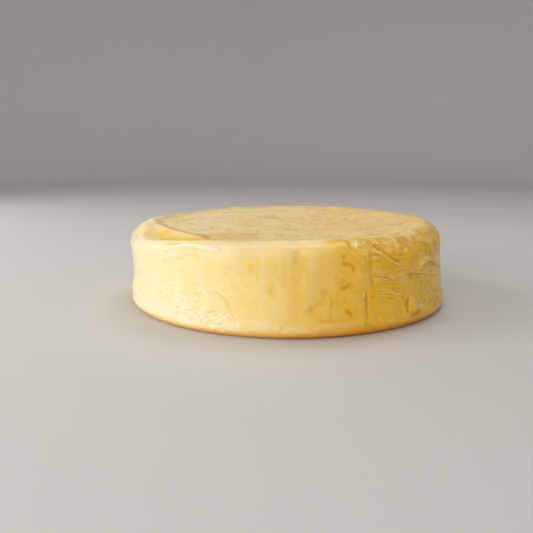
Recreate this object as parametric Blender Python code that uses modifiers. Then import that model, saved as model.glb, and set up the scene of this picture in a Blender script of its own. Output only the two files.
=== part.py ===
"""A whole cheese wheel in its film: a turned body that has slumped a little, with folds and dents.

Metres, +Z up. The wheel stands on its flat underside, with the middle of its box's floor at the origin.
Bearings are in degrees round the wheel: 0 is the front, which faces -Y, and they grow towards +X.
"""
import math
import random

import bmesh
import bpy
from mathutils import Vector

MM = 0.001

# Driving sizes of the turned body
WHEEL_RADIUS = 150 * MM
RIM_HEIGHT = 75.4 * MM
FLARE = 2.4 * MM               # how much further out the foot stands than the shoulder
DISC_SINK = 2.0 * MM           # how far the middle of the top lies below the rim's crest
SHOULDER_ROUNDING = 15.5 * MM
FOOT_ROUNDING = 6.5 * MM

# How the whole wheel has settled
LEAN = -3.4 * MM               # sideways shift of the top over the foot
TILT = 1.7 * MM                # rise of the rim at +X over its middle

# Mesh rows from the middle of the top to the middle of the underside
TURN_STEPS = 150
DISC_RINGS = 7
BAND_RINGS = 5
SHOULDER_ROWS = 6
SIDE_ROWS = 13
FOOT_ROWS = 3

# Nominal places on the profile, before the skin is shaped
DISC_RADIUS = 110 * MM
TOP_RADIUS = WHEEL_RADIUS - FLARE / 2
FOOT_RADIUS = WHEEL_RADIUS + FLARE / 2
CREST_RADIUS = TOP_RADIUS - SHOULDER_ROUNDING
SHOULDER_HEIGHT = RIM_HEIGHT - SHOULDER_ROUNDING
SOLE_RADIUS = FOOT_RADIUS - FOOT_ROUNDING
TINY = 0.01 * MM

# Edge of the sunk disc: bearing in degrees, radius in mm. The dip on the left is the flap that laps over it.
DISC_EDGE = [
    (-180, 125), (-163, 119), (-148, 119), (-131, 115), (-116, 117), (-104, 122), (-97, 125), (-89, 121),
    (-80, 116), (-71, 112), (-64, 110), (-56, 108), (-49, 107), (-42, 109), (-35, 114), (-29, 117),
    (-12, 118), (10, 117), (19, 121), (25, 116), (33, 117), (42, 121), (50, 125), (60, 129), (78, 131),
    (96, 130), (114, 124), (128, 126), (150, 120), (166, 126),
]

# Depth of the disc's edge below the rim: bearing in degrees, depth in mm. It is deepest at the front left.
EDGE_SINK = [
    (-180, 1.2), (-130, 0.8), (-105, 1.2), (-85, 2.4), (-60, 3.0), (-30, 2.6), (0, 2.0), (45, 1.5), (90, 1.0),
    (150, 1.0),
]

# Size of the shoulder's and the foot's rounding round the wheel: bearing in degrees, share of the nominal one
SHOULDER_SHARE = [
    (-180, 1.05), (-120, 1.2), (-80, 1.15), (-60, 0.45), (-32, 0.3), (-20, 0.85), (-8, 1.3), (6, 1.35),
    (18, 1.2), (34, 1.4), (45, 1.4), (62, 1.0), (85, 0.85), (120, 1.15), (150, 0.95),
]
FOOT_SHARE = [(-180, 1.2), (-110, 1.3), (-70, 1.1), (-45, 0.8), (20, 0.9), (45, 0.9), (72, 0.7), (120, 1.2)]

# Change of the rim's height round the wheel: bearing in degrees, height in mm. It dips at the front left.
RIM_DIP = [(-180, 0.0), (-86, 0.0), (-61, -6.2), (-29, 0.0), (90, 0.0)]

# Folds along the side: a path of (bearing, height in mm), then half width and rise in mm; creases go inwards
SIDE_FOLDS = {
    "front valley": ([(2.5, 74), (2.5, 50), (2, 40), (0.5, 28), (0, 20)], 7.0, -0.4),
    "front ridge": ([(4, 24), (6, 42), (7.4, 58), (7, 72)], 7.0, 0.45),
    "front arc": ([(-26, 40), (-23, 34), (-20.5, 30), (-18.5, 25), (-17.5, 18)], 5.0, -0.35),
    "corner crease": ([(12, 40), (11, 35), (9.5, 31), (7.5, 26), (5, 22), (3, 18)], 8.0, -0.6),
    "left crescent": ([(-45, 53), (-38, 59), (-35, 62), (-31, 64), (-27, 64)], 5.0, -0.25),
    "left brow": ([(-44, 66), (-38, 70), (-33, 72), (-28, 71.5), (-22, 70)], 3.6, 0.8),
    "left crease": ([(-74, 30), (-64, 35), (-58, 38)], 5.0, -0.4),
    "left groove": ([(-66, 20), (-56, 13), (-49, 9)], 5.0, -0.4),
    "left waist": ([(-108, 24), (-92, 26), (-78, 28), (-66, 34)], 12.0, -1.3),
    "left shoulder roll": ([(-120, 60), (-100, 58), (-84, 60), (-70, 62)], 12.0, 0.6),
    "left foot": ([(-120, 12), (-95, 11), (-75, 11), (-62, 10)], 7.0, -0.6),
    "upper seam": ([(27.2, 67), (25.9, 58), (25.8, 42)], 3.0, -0.35),
    "lower seam": ([(24.4, 36), (23.9, 27), (23.9, 14)], 3.2, -0.6),
    "right diagonal": ([(27, 70), (29.5, 65), (32, 61), (35, 57.5), (39, 53)], 4.0, -0.7),
    "right arch": ([(48.5, 47), (51, 51.5), (54, 52.5), (58, 49), (63, 44.5), (69, 39.5)], 4.5, 1.2),
    "under the arch": ([(46, 43), (50, 41), (54, 39), (58, 38), (66, 35)], 4.0, -0.6),
    "right wave": ([(27, 46), (30, 46.5), (33, 45), (36, 44.5), (39, 41)], 3.6, -0.7),
    "right foot roll": ([(30, 11), (50, 9), (75, 10), (100, 12), (120, 13)], 6.5, 1.2),
    "right shoulder roll": ([(66, 66), (84, 64), (104, 64)], 12.0, 0.2),
    "left foot roll": ([(-30, 12), (-10, 11), (10, 12), (25, 11)], 7.0, 0.5),
}

# Lumps and dents on the side: bearing, height, radius and rise in mm
SIDE_LUMPS = {
    "knob": (43.4, 18.2, 9.5, 3.2),
    "hollow under the knob": (45.5, 8.5, 6.0, -1.0),
    "pale bump": (22.3, 48.5, 10.0, 1.4),
    "shoulder lump": (43.0, 57.5, 10.0, 1.3),
    "small lump": (49.5, 52.5, 7.0, 1.1),
    "right pit": (42.8, 42.5, 5.5, -1.2),
    "upper pit": (17.5, 60.0, 6.0, -0.7),
    "lower pit": (16.5, 41.0, 6.0, -0.5),
    "front dimple": (-6.0, 39.0, 8.0, -0.5),
    "left dimple": (-12.5, 57.0, 8.0, -0.4),
}

# Folds on the top: a path of (x, y in mm), then half width and rise in mm
TOP_FOLDS = {
    "trough behind the rim": ([(-116, -50), (-107, -64), (-96, -79), (-84, -94), (-75, -106)], 16.0, -1.9),
    "flap lip": ([(-128, 18), (-123, -6), (-111, -36), (-97, -58), (-88, -73), (-79, -88)], 8.0, 1.6),
    "right edge line": ([(46, -108), (55, -106), (71, -98), (86, -92), (101, -84), (116, -74), (128, -54)],
                        5.0, 0.6),
}

# Lumps and dents on the top: x, y, radius and rise in mm
TOP_LUMPS = {
    "back bump": (-55, 126, 14, 1.5),
    "back left bump": (-112, 74, 12, 0.7),
    "pit at the end of the flap": (-67, -88, 8, -1.3),
    "right hollow": (92, -92, 13, -1.0),
    "right rim lump": (112, -74, 12, 0.8),
}

# Notches across the rim: bearing, half width in mm and depth in mm
RIM_NOTCHES = [
    (3.0, 9.0, 0.5), (20.8, 4.5, 0.9), (38.0, 7.0, 0.6),
    (112.0, 8.0, 0.8), (-132.0, 9.0, 0.7), (158.0, 7.0, 0.8),
]

# Long waves of the skin: rise in mm, waves round the wheel, start, and change of start per mm of height
SIDE_WAVES = [(0.45, 3, 0.6, 0.0), (0.3, 5, 1.9, 0.025), (0.25, 9, 0.0, 0.0625)]
RIM_WAVES = [(0.3, 4, 2.2), (0.25, 7, 0.5)]

# The waist round the side: mean depth and its change in mm, start of the change, middle and half height
WAIST_DEPTH = 0.9
WAIST_CHANGE = 0.6
WAIST_START = 1.4
WAIST_HEIGHT = 38.0
WAIST_REACH = 26.0

# Waves of the top: rise in mm and lengths in mm along X and Y, divided by a full turn
SWELL_RISE = 0.35
SWELL_LENGTHS = (15.0, 18.0)
SWELL_BEND = 0.4
BEND_LENGTH = 21.0
RIPPLE_RISE = 0.2
RIPPLE_LENGTHS = (8.5, 11.0)
SWELL_START = 0.7
RIPPLE_START = 1.3

# The far half has the same kind of skin, drawn by rule
FAR_SEED = 41
FAR_START = 78
FAR_SPAN = 204
FAR_FOLDS = 9
FAR_LUMPS = 16


def smooth(share):
    """0 to 1 with a soft start and end."""
    share = min(max(share, 0.0), 1.0)
    return share * share * (3.0 - 2.0 * share)


def wrap(bearing):
    """The same bearing between -180 and 180."""
    return (bearing + 180.0) % 360.0 - 180.0


def round_table(table, bearing):
    """Value at a bearing, eased between the entries of a table that goes once round the wheel."""
    bearing = wrap(bearing)
    entries = table + [(table[0][0] + 360, table[0][1])]
    for (start, first), (end, last) in zip(entries, entries[1:]):
        if start <= bearing <= end:
            return first + (last - first) * smooth((bearing - start) / (end - start))
    return entries[0][1]


def arc_length(degrees):
    """Length in mm along the side for an angle in degrees."""
    return math.radians(degrees) * WHEEL_RADIUS / MM


def bell(distance, half_width):
    """1 on the line, 0 from the half width on."""
    share = distance / half_width
    if share >= 1.0:
        return 0.0
    return (1.0 - share * share) ** 2


def distance_to_path(across, up, path):
    """Shortest distance in mm from a point to a path, all on the unrolled side or all on the top."""
    nearest = 1e9
    for (x1, y1), (x2, y2) in zip(path, path[1:]):
        run = Vector((x2 - x1, y2 - y1))
        to_point = Vector((across - x1, up - y1))
        share = min(max(to_point.dot(run) / run.length_squared, 0.0), 1.0)
        nearest = min(nearest, (to_point - share * run).length)
    return nearest


def far_skin():
    """Folds and lumps of the far half: long soft folds that run down the side, and lumps between them."""
    draw = random.Random(FAR_SEED)
    folds = []
    for number in range(FAR_FOLDS):
        bearing = FAR_START + FAR_SPAN * (number + draw.uniform(0.2, 0.8)) / FAR_FOLDS
        height = draw.uniform(52, 70)
        path = [(bearing, height)]
        for _ in range(4):
            bearing += draw.uniform(-4, 4)
            height -= draw.uniform(5, 12)
            path.append((bearing, height))
        folds.append((path, draw.uniform(4.5, 8.0), draw.choice([-1.0, -1.0, 1.0]) * draw.uniform(0.6, 1.2)))
    lumps = []
    for number in range(FAR_LUMPS):
        bearing = FAR_START + FAR_SPAN * (number + draw.uniform(0.1, 0.9)) / FAR_LUMPS
        rise = draw.choice([-1.0, 1.0]) * draw.uniform(0.6, 1.6)
        lumps.append((bearing, draw.uniform(14, 62), draw.uniform(6, 11), rise))
    return folds, lumps


FAR_SKIN = far_skin()


def side_relief(bearing, height):
    """Rise of the skin in mm on the side, at a bearing and a height in mm."""
    rise = 0.0
    for path, half_width, peak in list(SIDE_FOLDS.values()) + FAR_SKIN[0]:
        nearby = wrap(bearing - path[0][0])
        unrolled = [(arc_length(wrap(point[0] - path[0][0])), point[1]) for point in path]
        rise += peak * bell(distance_to_path(arc_length(nearby), height, unrolled), half_width)
    for centre, centre_height, radius, peak in list(SIDE_LUMPS.values()) + FAR_SKIN[1]:
        away = math.hypot(arc_length(wrap(bearing - centre)), height - centre_height)
        rise += peak * bell(away, radius)
    turn = math.radians(bearing)
    for peak, waves, start, climb in SIDE_WAVES:
        rise += peak * math.sin(waves * turn + start + climb * height)
    waist = WAIST_DEPTH + WAIST_CHANGE * math.cos(turn + WAIST_START)
    return rise - waist * bell(abs(height - WAIST_HEIGHT), WAIST_REACH)


def top_relief(x, y):
    """Rise of the skin in mm on the top, at a place in mm."""
    bend = SWELL_BEND * math.sin(y / BEND_LENGTH)
    rise = SWELL_RISE * math.sin(x / SWELL_LENGTHS[0] + bend) * math.cos(y / SWELL_LENGTHS[1] + SWELL_START)
    rise += RIPPLE_RISE * math.sin(x / RIPPLE_LENGTHS[0] + y / RIPPLE_LENGTHS[1] + RIPPLE_START)
    for path, half_width, peak in TOP_FOLDS.values():
        rise += peak * bell(distance_to_path(x, y, path), half_width)
    for centre_x, centre_y, radius, peak in TOP_LUMPS.values():
        rise += peak * bell(math.hypot(x - centre_x, y - centre_y), radius)
    return rise


def rim_relief(bearing):
    """Rise of the rim in mm: long waves and the notches across it."""
    turn = math.radians(bearing)
    rise = sum(peak * math.sin(waves * turn + start) for peak, waves, start in RIM_WAVES)
    for centre, half_width, depth in RIM_NOTCHES:
        rise -= depth * bell(abs(arc_length(wrap(bearing - centre))), half_width)
    return rise


def nominal_profile():
    """Half outline: from the middle of the top over the shoulder, down the side and in under the foot."""
    points = [(DISC_RADIUS * ring / DISC_RINGS, RIM_HEIGHT) for ring in range(DISC_RINGS)]
    band = CREST_RADIUS - DISC_RADIUS
    points += [(DISC_RADIUS + band * ring / BAND_RINGS, RIM_HEIGHT) for ring in range(BAND_RINGS)]
    for row in range(SHOULDER_ROWS + 1):
        angle = math.pi / 2 * (1 - row / SHOULDER_ROWS)
        points.append((CREST_RADIUS + SHOULDER_ROUNDING * math.cos(angle),
                       SHOULDER_HEIGHT + SHOULDER_ROUNDING * math.sin(angle)))
    for row in range(1, SIDE_ROWS):
        share = row / SIDE_ROWS
        height = SHOULDER_HEIGHT + (FOOT_ROUNDING - SHOULDER_HEIGHT) * share
        points.append((TOP_RADIUS + FLARE * share, height))
    for row in range(FOOT_ROWS + 1):
        angle = math.pi / 2 * row / FOOT_ROWS
        height = FOOT_ROUNDING - FOOT_ROUNDING * math.sin(angle)
        points.append((SOLE_RADIUS + FOOT_ROUNDING * math.cos(angle), height))
    points.append((0.0, 0.0))
    return points


def turned_body():
    """The plain wheel, turned from its profile."""
    points = nominal_profile()
    outline = bpy.data.meshes.new("wheel_profile")
    edges = [(i, i + 1) for i in range(len(points) - 1)]
    outline.from_pydata([(radius, 0.0, height) for radius, height in points], edges, [])
    turned = bpy.data.objects.new("wheel_profile", outline)
    bpy.context.scene.collection.objects.link(turned)
    screw = turned.modifiers.new("turn", "SCREW")
    screw.axis = "Z"
    screw.angle = math.tau
    screw.steps = TURN_STEPS
    screw.render_steps = TURN_STEPS
    screw.use_merge_vertices = True
    screw.merge_threshold = 0.01 * MM
    bpy.context.view_layer.update()
    graph = bpy.context.evaluated_depsgraph_get()
    mesh = bpy.data.meshes.new_from_object(turned.evaluated_get(graph))
    bpy.data.objects.remove(turned)
    bpy.data.meshes.remove(outline)
    return mesh


def disc_height(bearing, radius):
    """Height of the sunk disc at a bearing and a radius."""
    share = (radius / DISC_RADIUS) ** 2
    return RIM_HEIGHT - DISC_SINK + (DISC_SINK - round_table(EDGE_SINK, bearing) * MM) * share


def shaped(point):
    """Where a point of the plain wheel goes once the skin has its form."""
    radius = math.hypot(point.x, point.y)
    bearing = math.degrees(math.atan2(point.x, -point.y))
    shoulder = SHOULDER_ROUNDING * round_table(SHOULDER_SHARE, bearing)
    foot = FOOT_ROUNDING * round_table(FOOT_SHARE, bearing)
    rim = RIM_HEIGHT + round_table(RIM_DIP, bearing) * MM
    crest = TOP_RADIUS - shoulder
    disc = min(round_table(DISC_EDGE, bearing) * MM, crest - 3 * MM)
    outward = 0.0
    upward = 0.0
    rim_share = 0.0
    if point.z < TINY:
        new_radius = radius / SOLE_RADIUS * (FOOT_RADIUS - foot)
        new_height = 0.0
    elif point.z > RIM_HEIGHT - TINY and radius < DISC_RADIUS - TINY:
        new_radius = radius / DISC_RADIUS * disc
        new_height = disc_height(bearing, new_radius)
        upward = 1.0
    elif point.z > RIM_HEIGHT - TINY:
        share = min((radius - DISC_RADIUS) / (CREST_RADIUS - DISC_RADIUS), 1.0)
        new_radius = disc + (crest - disc) * share
        rim_share = smooth(share)
        sunk_height = disc_height(bearing, disc)
        new_height = sunk_height + (rim - sunk_height) * rim_share
        upward = 1.0
    elif point.z > SHOULDER_HEIGHT - TINY:
        angle = math.atan2(point.z - SHOULDER_HEIGHT, radius - CREST_RADIUS)
        outward = math.cos(angle)
        upward = max(math.sin(angle), 0.0)
        new_radius = crest + shoulder * outward
        new_height = rim - shoulder + shoulder * upward
        rim_share = upward
    elif point.z > FOOT_ROUNDING + TINY:
        share = (point.z - FOOT_ROUNDING) / (SHOULDER_HEIGHT - FOOT_ROUNDING)
        new_radius = FOOT_RADIUS - FLARE * share
        new_height = foot + (rim - shoulder - foot) * share
        outward = 1.0
    else:
        angle = math.atan2(FOOT_ROUNDING - point.z, radius - SOLE_RADIUS)
        new_radius = FOOT_RADIUS - foot + foot * math.cos(angle)
        new_height = foot - foot * math.sin(angle)
        outward = smooth(math.cos(angle))
    direction = Vector((point.x, point.y)) / max(radius, TINY)
    side = side_relief(bearing, new_height / MM) * MM * smooth(outward * 1.6) if outward else 0.0
    flat = direction * new_radius
    top = top_relief(flat.x / MM, flat.y / MM) * MM * upward if upward else 0.0
    top += rim_relief(bearing) * MM * rim_share
    flat = direction * (new_radius + side * outward + top * outward)
    height = new_height + side * upward + top * upward
    level = height / RIM_HEIGHT
    return Vector((flat.x + LEAN * (level - 0.5), flat.y, height + TILT * level * flat.x / WHEEL_RADIUS))


def shape_skin(mesh):
    """Moves every point to its place, then sets the wheel's box over the origin."""
    skin = bmesh.new()
    skin.from_mesh(mesh)
    for vertex in skin.verts:
        vertex.co = shaped(vertex.co)
    lows = [min(vertex.co[axis] for vertex in skin.verts) for axis in range(3)]
    highs = [max(vertex.co[axis] for vertex in skin.verts) for axis in range(3)]
    middle = Vector(((lows[0] + highs[0]) / 2, (lows[1] + highs[1]) / 2, lows[2]))
    for vertex in skin.verts:
        vertex.co -= middle
    bmesh.ops.triangulate(skin, faces=[face for face in skin.faces if len(face.verts) > 3])
    skin.to_mesh(mesh)
    skin.free()


def rind_material():
    """Pale butter-yellow rind with a satin film on it."""
    material = bpy.data.materials.new("rind_in_film")
    material.use_nodes = True
    surface = material.node_tree.nodes["Principled BSDF"]
    surface.inputs["Base Color"].default_value = (0.88, 0.70, 0.33, 1.0)
    surface.inputs["Roughness"].default_value = 0.36
    surface.inputs["Metallic"].default_value = 0.0
    return material


def build_wheel():
    """Makes the wheel as one object in a collection of its own."""
    for old in list(bpy.data.objects):
        bpy.data.objects.remove(old)
    wheel_collection = bpy.data.collections.new("cheese_wheel")
    bpy.context.scene.collection.children.link(wheel_collection)
    mesh = turned_body()
    mesh.name = "cheese_wheel"
    shape_skin(mesh)
    mesh.shade_smooth()
    mesh.set_sharp_from_angle(angle=math.radians(55))
    mesh.materials.append(rind_material())
    wheel_collection.objects.link(bpy.data.objects.new("cheese_wheel", mesh))


build_wheel()
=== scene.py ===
import math
import random

import bpy
import numpy as np
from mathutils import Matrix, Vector, noise


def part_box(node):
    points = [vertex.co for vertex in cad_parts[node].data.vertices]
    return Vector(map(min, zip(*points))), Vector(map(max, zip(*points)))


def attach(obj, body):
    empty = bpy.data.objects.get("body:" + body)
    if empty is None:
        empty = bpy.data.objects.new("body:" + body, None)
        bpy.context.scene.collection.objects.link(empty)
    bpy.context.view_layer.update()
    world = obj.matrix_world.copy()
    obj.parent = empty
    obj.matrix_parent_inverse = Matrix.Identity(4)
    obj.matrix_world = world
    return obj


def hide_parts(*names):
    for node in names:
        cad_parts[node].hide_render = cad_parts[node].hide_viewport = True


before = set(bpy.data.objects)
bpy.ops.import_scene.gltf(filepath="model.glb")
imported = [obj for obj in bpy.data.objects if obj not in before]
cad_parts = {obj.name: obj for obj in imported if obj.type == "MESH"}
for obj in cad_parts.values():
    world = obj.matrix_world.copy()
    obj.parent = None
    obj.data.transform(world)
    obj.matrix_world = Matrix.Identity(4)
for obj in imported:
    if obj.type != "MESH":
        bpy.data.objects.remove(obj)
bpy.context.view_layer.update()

mm = 0.001


# Curves and tables that the whole skin is made with; lengths are in mm, bearings in degrees from the front

def smooth(share):
    share = np.clip(share, 0.0, 1.0)
    return share * share * (3.0 - 2.0 * share)


def wrap(bearing):
    return (bearing + 180.0) % 360.0 - 180.0


def bell(distance, halfWidth):
    return np.clip(1.0 - (distance / halfWidth) ** 2, 0.0, None) ** 2  # 1 on the line, 0 from the half width on


def roundTable(table, bearing):
    stops = np.array(table + [(table[0][0] + 360, table[0][1])], float)
    place = np.interp(wrap(bearing), stops[:, 0], np.arange(len(stops)))
    lower = np.minimum(place.astype(int), len(stops) - 2)
    return stops[lower, 1] + (stops[lower + 1, 1] - stops[lower, 1]) * smooth(place - lower)


def arcLength(degrees):
    return np.radians(degrees) * wheel["radius"]


def curved(path, rounds=2):
    path = np.array(path, float)
    for _ in range(rounds):  # each round cuts the corners
        early = path[:-1] * 0.75 + path[1:] * 0.25
        late = path[:-1] * 0.25 + path[1:] * 0.75
        inner = np.stack([early, late], axis=1).reshape(-1, 2)
        path = np.vstack([path[:1], inner[1:-1], path[-1:]])
    return path


def addFold(rise, across, up, path, halfWidth, peak, fade=0.0, sharp=False):
    path = curved(path)
    low = path.min(axis=0) - halfWidth
    high = path.max(axis=0) + halfWidth
    inBox = (across > low[0]) & (across < high[0]) & (up > low[1]) & (up < high[1])
    near = np.flatnonzero(inBox)
    if not len(near):
        return
    x, y = across[near], up[near]
    nearest = np.full(len(near), 1e9)
    along = np.zeros(len(near))
    done = 0.0
    for start, end in zip(path, path[1:]):
        run = end - start
        length = float(np.hypot(*run))
        share = np.clip(((x - start[0]) * run[0] + (y - start[1]) * run[1]) / length ** 2, 0.0, 1.0)
        distance = np.hypot(x - start[0] - share * run[0], y - start[1] - share * run[1])
        closer = distance < nearest
        nearest[closer] = distance[closer]
        along[closer] = done + share[closer] * length
        done += length
    profile = np.clip(1.0 - nearest / halfWidth, 0.0, None) ** 2 if sharp else bell(nearest, halfWidth)
    amount = peak * profile
    if fade:
        amount *= smooth(along / done / fade) * smooth((1.0 - along / done) / fade)
    rise[near] += amount


def addSideFold(rise, bearing, height, path, halfWidth, peak, fade=0.0, sharp=False):
    home = path[0][0]
    unrolled = [(arcLength(wrap(point[0] - home)), point[1]) for point in path]
    addFold(rise, arcLength(wrap(bearing - home)), height, unrolled, halfWidth, peak, fade, sharp)


def addSideLump(rise, bearing, height, centre, centreHeight, radius, peak):
    across = arcLength(wrap(bearing - centre))
    rise += peak * bell(np.hypot(across, height - centreHeight), radius)


def grain(points, size, seed):
    shift = Vector((seed * 17.31, seed * 5.17, seed * 9.73))
    return np.array([noise.noise(Vector(point) / size + shift) for point in points])


# The wheel's own form, the same as its solid's

wheel = dict(
    radius=150,
    rimHeight=75.4,
    flare=2.4,  # how much further out the foot stands than the shoulder
    discSink=2,  # how far the middle of the top lies below the rim's crest
    discRadius=110,
    shoulderRounding=15.5,
    footRounding=6.5,
    lean=-3.4,  # sideways shift of the top over the foot
    tilt=1.7,  # rise of the rim at +x over its middle
)
topRadius = wheel["radius"] - wheel["flare"] / 2
footRadius = wheel["radius"] + wheel["flare"] / 2

discEdge = [
    (-180, 125), (-163, 119), (-148, 119), (-131, 115), (-116, 117), (-104, 122), (-97, 125), (-89, 121),
    (-80, 116), (-71, 112), (-64, 110), (-56, 108), (-49, 107), (-42, 109), (-35, 114), (-29, 117), (-12, 118),
    (10, 117), (19, 121), (25, 116), (33, 117), (42, 121), (50, 125), (60, 129), (78, 131), (96, 130),
    (114, 124), (128, 126), (150, 120), (166, 126),
]
edgeSink = [(-180, 1.2), (-130, 0.8), (-105, 1.2), (-85, 2.4), (-60, 3), (-30, 2.6), (0, 2), (45, 1.5), (90, 1),
            (150, 1)]  # depth of the disc's edge below the rim
shoulderShare = [(-180, 1.05), (-120, 1.2), (-80, 1.15), (-60, 0.45), (-32, 0.3), (-20, 0.85), (-8, 1.3),
                 (6, 1.35), (18, 1.2), (34, 1.4), (45, 1.4), (62, 1), (85, 0.85), (120, 1.15), (150, 0.95)]
footShare = [(-180, 1.2), (-110, 1.3), (-70, 1.1), (-45, 0.8), (20, 0.9), (45, 0.9), (72, 0.7), (120, 1.2)]

rimDip = [(-180, 0), (-86, 0), (-61, -6.2), (-29, 0), (90, 0)]

mainFolds = {
    "front valley": ([(2.5, 74), (2.5, 50), (2, 40), (0.5, 28), (0, 20)], 7, -0.4),
    "front ridge": ([(4, 24), (6, 42), (7.4, 58), (7, 72)], 7, 0.45),
    "front arc": ([(-26, 40), (-23, 34), (-20.5, 30), (-18.5, 25), (-17.5, 18)], 5, -0.35),
    "corner crease": ([(12, 40), (11, 35), (9.5, 31), (7.5, 26), (5, 22), (3, 18)], 8, -0.6),
    "left crescent": ([(-45, 53), (-38, 59), (-35, 62), (-31, 64), (-27, 64)], 5, -0.25),
    "left brow": ([(-44, 66), (-38, 70), (-33, 72), (-28, 71.5), (-22, 70)], 3.6, 0.8),
    "left crease": ([(-74, 30), (-64, 35), (-58, 38)], 5, -0.4),
    "left groove": ([(-66, 20), (-56, 13), (-49, 9)], 5, -0.4),
    "left waist": ([(-108, 24), (-92, 26), (-78, 28), (-66, 34)], 12, -1.3),
    "left shoulder roll": ([(-120, 60), (-100, 58), (-84, 60), (-70, 62)], 12, 0.6),
    "left foot": ([(-120, 12), (-95, 11), (-75, 11), (-62, 10)], 7, -0.6),
    "upper seam": ([(27.2, 67), (25.9, 58), (25.8, 42)], 3, -0.35),
    "lower seam": ([(24.4, 36), (23.9, 27), (23.9, 14)], 3.2, -0.6),
    "right diagonal": ([(27, 70), (29.5, 65), (32, 61), (35, 57.5), (39, 53)], 4, -0.7),
    "right arch": ([(48.5, 47), (51, 51.5), (54, 52.5), (58, 49), (63, 44.5), (69, 39.5)], 4.5, 1.2),
    "under the arch": ([(46, 43), (50, 41), (54, 39), (58, 38), (66, 35)], 4, -0.6),
    "right wave": ([(27, 46), (30, 46.5), (33, 45), (36, 44.5), (39, 41)], 3.6, -0.7),
    "right foot roll": ([(30, 11), (50, 9), (75, 10), (100, 12), (120, 13)], 6.5, 1.2),
    "right shoulder roll": ([(66, 66), (84, 64), (104, 64)], 12, 0.2),
    "left foot roll": ([(-30, 12), (-10, 11), (10, 12), (25, 11)], 7, 0.5),
}
mainLumps = {
    "knob": (43.4, 18.2, 9.5, 3.2),
    "hollow under the knob": (45.5, 8.5, 6, -1),
    "pale bump": (22.3, 48.5, 10, 1.4),
    "shoulder lump": (43, 57.5, 10, 1.3),
    "small lump": (49.5, 52.5, 7, 1.1),
    "right pit": (42.8, 42.5, 5.5, -1.2),
    "upper pit": (17.5, 60, 6, -0.7),
    "lower pit": (16.5, 41, 6, -0.5),
    "front dimple": (-6, 39, 8, -0.5),
    "left dimple": (-12.5, 57, 8, -0.4),
}
topFolds = {
    "trough behind the rim": ([(-116, -50), (-107, -64), (-96, -79), (-84, -94), (-75, -106)], 16, -1.9),
    "flap lip": ([(-128, 18), (-123, -6), (-111, -36), (-97, -58), (-88, -73), (-79, -88)], 8, 1.6),
    "right edge line": ([(46, -108), (55, -106), (71, -98), (86, -92), (101, -84), (116, -74), (128, -54)],
                        5, 0.6),
}
topLumps = {
    "back bump": (-55, 126, 14, 1.5),
    "back left bump": (-112, 74, 12, 0.7),
    "pit at the end of the flap": (-67, -88, 8, -1.3),
    "right hollow": (92, -92, 13, -1),
    "right rim lump": (112, -74, 12, 0.8),
}
rimNotches = [(3, 9, 0.5), (20.8, 4.5, 0.9), (38, 7, 0.6), (112, 8, 0.8),
              (-132, 9, 0.7), (158, 7, 0.8)]
farHalf = dict(seed=41, start=78, span=204, folds=9, lumps=16)


def spacedOut(region, number, count, jitter, draw):
    return region["start"] + region["span"] * (number + draw.uniform(*jitter)) / count


def farSkin():
    draw = random.Random(farHalf["seed"])
    folds = []
    for number in range(farHalf["folds"]):
        bearing = spacedOut(farHalf, number, farHalf["folds"], (0.2, 0.8), draw)
        height = draw.uniform(52, 70)
        path = [(bearing, height)]
        for _ in range(4):
            bearing += draw.uniform(-4, 4)
            height -= draw.uniform(5, 12)
            path.append((bearing, height))
        folds.append((path, draw.uniform(4.5, 8), draw.choice([-1, -1, 1]) * draw.uniform(0.6, 1.2)))
    lumps = []
    for number in range(farHalf["lumps"]):
        bearing = spacedOut(farHalf, number, farHalf["lumps"], (0.1, 0.9), draw)
        rise = draw.choice([-1, 1]) * draw.uniform(0.6, 1.6)
        lumps.append((bearing, draw.uniform(14, 62), draw.uniform(6, 11), rise))
    return folds, lumps


def mainSideRelief(bearing, height):
    rise = np.zeros(len(bearing))
    farFolds, farLumps = farSkin()
    for path, halfWidth, peak in list(mainFolds.values()) + farFolds:
        addSideFold(rise, bearing, height, path, halfWidth, peak)
    for lump in list(mainLumps.values()) + farLumps:
        addSideLump(rise, bearing, height, *lump)
    turn = np.radians(bearing)
    rise += 0.45 * np.sin(3 * turn + 0.6) + 0.3 * np.sin(5 * turn + 1.9 + height / 40)
    rise += 0.25 * np.sin(9 * turn + height / 16)
    waist = -0.9 - 0.6 * np.cos(turn + 1.4)
    return rise + waist * bell(abs(height - 38), 26)


def mainTopRelief(x, y):
    rise = 0.35 * np.sin(x / 15 + 0.4 * np.sin(y / 21)) * np.cos(y / 18 + 0.7)
    rise += 0.2 * np.sin(x / 8.5 + y / 11 + 1.3)
    for path, halfWidth, peak in topFolds.values():
        addFold(rise, x, y, path, halfWidth, peak)
    for centreX, centreY, radius, peak in topLumps.values():
        rise += peak * bell(np.hypot(x - centreX, y - centreY), radius)
    return rise


def rimRelief(bearing):
    turn = np.radians(bearing)
    rise = 0.3 * np.sin(4 * turn + 2.2) + 0.25 * np.sin(7 * turn + 0.5)
    for centre, halfWidth, depth in rimNotches:
        rise -= depth * bell(abs(arcLength(wrap(bearing - centre))), halfWidth)
    return rise


# Fine folds of the film: a path of (bearing, height), then half width and rise

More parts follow.
